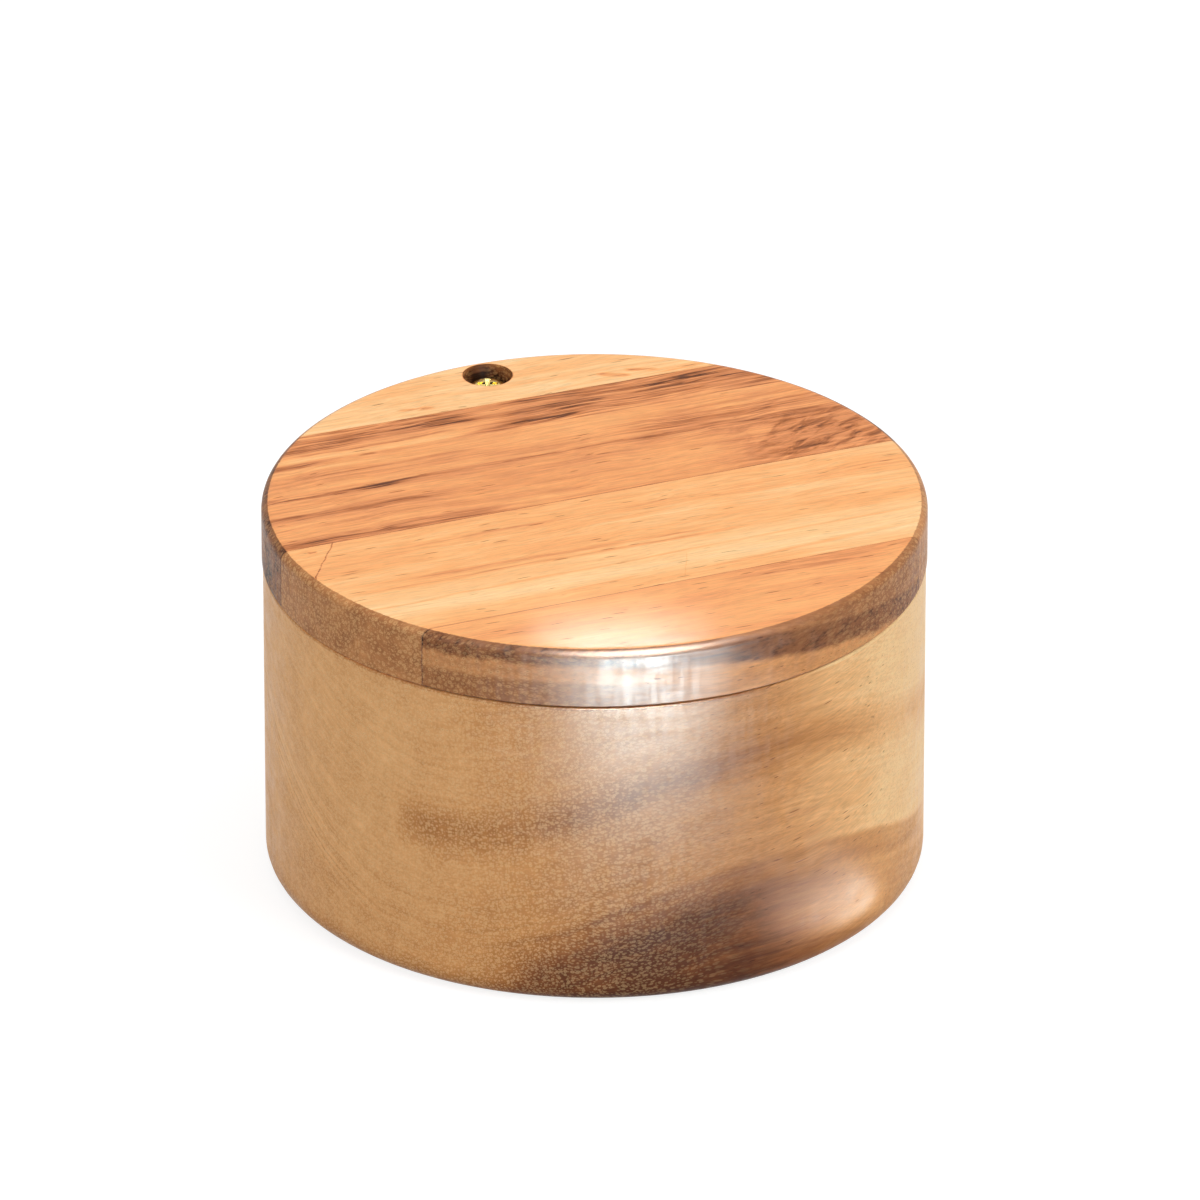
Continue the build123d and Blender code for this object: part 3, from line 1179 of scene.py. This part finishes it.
HINGE_WOOD = StaveWood(
    "wood_hinge",
    "hinge_stave_wood",
    FACE,
    LID_SIDE,
    3.1,
    base=0.21,
    contrast=0.45,
    seams=SEAMS[:1],
    # painted shade inside the pivot hole's counterbore
    shaded_hole=49.3,
    streaks=(
        Streak(-18.5, -13.0, 39.3, 0.35, 0.26, soft=0.8, run=2.0, slant=-0.15),
        Streak(17.5, 22.0, 48.5, 0.5, 0.36, soft=0.9, run=1.6, slant=-0.34),
        Streak(22.5, 27.0, 48.8, 0.4, 0.36, soft=0.9, run=1.6, slant=-0.28),
        Streak(28.0, 38.0, 40.0, 0.7, 0.16, soft=1.4),
    ),
)
DARK_WOOD = StaveWood(
    "wood_dark",
    "dark_stave_wood",
    FACE,
    LID_SIDE,
    11.4,
    base=0.5,
    side_base=0.88,
    curls=0.32,
    contrast=0.62,
    seams=SEAMS[:2],
    streaks=(
        Streak(-46, -8, 35.6, 1.9, 0.32, run=9.0),
        Streak(-50, -8, 38.5, 0.3, 0.22, soft=0.7),
        Streak(-48, -30, 33.6, 0.6, 0.22, soft=0.9),
        Streak(-40, -14, 32.0, 0.25, 0.22, soft=0.6, run=5.0),
        Streak(-46, -12, 30.6, 1.0, -0.16),
        Streak(-48, -36, 28.9, 0.9, 0.26, run=6.0),
        Streak(-2, 50, 36.6, 2.0, 0.27),
        Streak(24, 36, 36.3, 0.5, 0.24, soft=0.9, run=5.0),
        Streak(-4, 52, 32.4, 2.2, 0.25),
        Streak(2, 50, 34.3, 0.25, 0.18, soft=0.7),
        Streak(-10, 16, 29.9, 0.7, 0.24, soft=0.8),
        Streak(6, 48, 29.2, 0.2, 0.26, soft=0.5),
        Streak(-54, -12, 24.3, 0.25, 0.18, soft=0.6),
        Streak(-60, -27, 17.7, 0.65, 0.38, soft=0.9, run=8.0),
        Streak(-34, 10, 18.2, 0.35, 0.20, soft=0.8),
        Streak(14, 56, 20.0, 4.0, 0.20, soft=4.0),
        Streak(-56, -20, 11.2, 0.9, 0.16, soft=1.4),
        Streak(-54, -24, 7.4, 0.4, 0.16, soft=0.8),
        Streak(-60, -16, 3.0, 1.5, 0.24, soft=1.2, slant=0.012),
        Streak(-20, 24, 9.5, 4.0, -0.07, soft=4.0),
    ),
)
PALE_WOOD = StaveWood(
    "wood_pale",
    "pale_stave_wood",
    FACE,
    LID_SIDE,
    23.8,
    base=0.3,
    side_base=0.57,
    ring=0.7,
    contrast=0.4,
    seams=SEAMS[1:],
    streaks=(
        Streak(-48, 56, -4.9, 0.25, 0.16, soft=0.7, slant=0.012),
        Streak(-36, 12, -16.4, 0.4, 0.20, soft=0.8),
        Streak(-46, 18, -18.1, 0.25, 0.20, soft=0.7),
        Streak(-50, 46, -23.0, 0.25, 0.16, soft=0.7, slant=0.03),
        Streak(8, 50, -30.4, 0.4, 0.16, soft=1.0, slant=0.08),
        Streak(-16, -4, -28.6, 0.3, 0.2, soft=0.7, run=3.0, slant=0.05),
        Streak(-60, 60, -24.8, 4.5, -0.15, soft=6.0),
        Streak(-60, 60, -7.0, 3.0, 0.05, soft=5.0),
        Streak(-53.2, -45.6, 72.2, 0.2, 0.42, soft=0.4, run=1.2, slant=1.56),
        Streak(-50.9, -49.5, -1.2, 0.3, 0.6, soft=0.5, run=0.6),
        Streak(3.4, 6.9, -39.8, 0.12, 0.14, soft=0.3, run=0.8, slant=2.3),
    ),
)
THUMB_WOOD = ThumbStaveWood(
    "wood_thumb",
    "thumb_stave_wood",
    FACE,
    LID_SIDE,
    37.2,
    base=0.43,
    contrast=0.4,
    side_base=0.45,
    seams=SEAMS[2:],
    ring=0.55,
    dots=Vessels(spacing=0.85, core=0.09, share=0.8, halo=0.38),
    streaks=(Streak(12, 60, -35.5, 1.6, 0.12, soft=2.0, slant=0.04),),
)
BOX_WOOD = BodyWood(
    "wood_box",
    "body_wood",
    BODY,
    BODY,
    51.9,
    grain=(0.93, 0.34, 0.1),
    dots=Vessels(spacing=0.6, core=0.1, share=0.8, halo=0.38),
    dashes=Vessels(spacing=0.7, core=0.12, share=0.62, length=11.0),
    ring_colour=srgb(248, 206, 150),
    ring=0.52,
    fibre=0.6,
    roughness=0.39,
)


def main() -> None:
    """Builds the studio and every piece of the box in order, and reports each."""
    logging.basicConfig(level=logging.INFO, format="%(name)s %(message)s")
    sizes = Sizes.from_frame()
    Studio().build(sizes)
    BoxBody(sizes).build(BOX_WOOD)
    Lid(sizes).build((HINGE_WOOD, DARK_WOOD, PALE_WOOD, THUMB_WOOD))
    brass = MetalFinish("brass", "brass", Metal.BRASS, recess=(0.0, 49.3, 0.9, 63.8))
    Pivot(sizes).build(brass, PlasticFinish("nylon", "glide_plastic"))
    Magnets().build(MetalFinish("nickel", "magnet_nickel", Metal.NICKEL))


if __name__ == "__main__":
    main()
